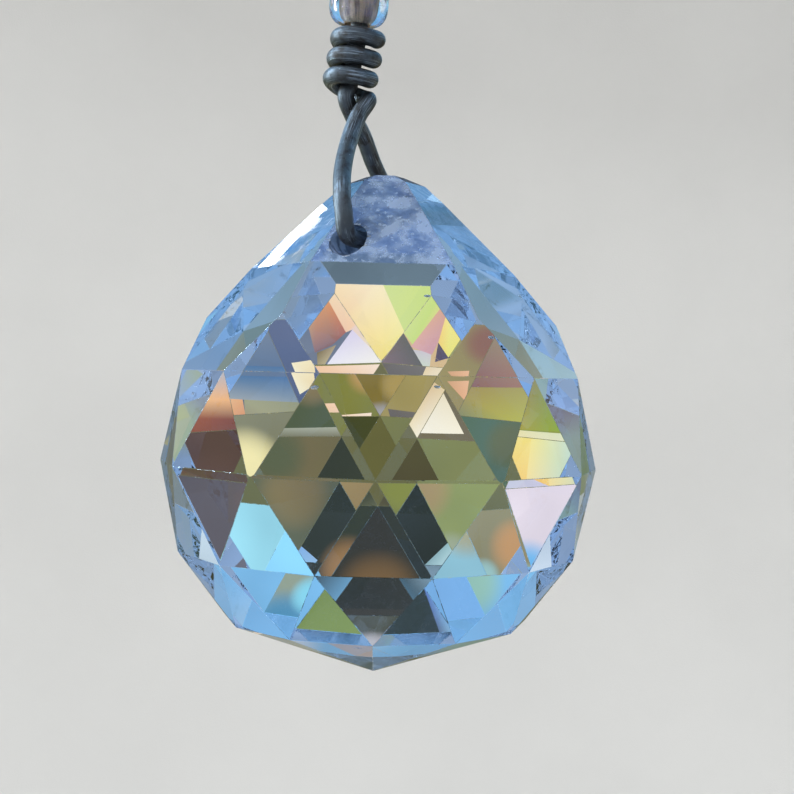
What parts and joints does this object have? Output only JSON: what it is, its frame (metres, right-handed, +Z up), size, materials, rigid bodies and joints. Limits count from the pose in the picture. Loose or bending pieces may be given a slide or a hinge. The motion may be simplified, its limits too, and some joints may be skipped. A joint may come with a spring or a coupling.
{
  "type": "crystal suncatcher",
  "caption": "Faceted clear crystal drop hung by a wrapped wire loop through its drilled top, under a round glass bead and a small wire hanging eye.",
  "frame": {"origin": "the inside top of the hanging eye, where a hook, thread or ring carries the piece", "axes": "+Z up, along the piece's length; -Y is the front, on the side that the wire enters the crystal's hole; the eye lies in the XZ plane"},
  "size_m": [0.03, 0.03, 0.0582],
  "materials": {
    "clear_crystal": "polished clear crystal facets, with a ground drilled hole",
    "dark_wire": "dark annealed steel wire with a bluish sheen and fine scuffs",
    "bead_glass": "clear glass with a thin rainbow-blue coat"
  },
  "bodies": {
    "root": {"crystal_drop": "clear_crystal", "hanging_wire": "dark_wire", "glass_bead": "bead_glass"}
  },
  "joints": []
}
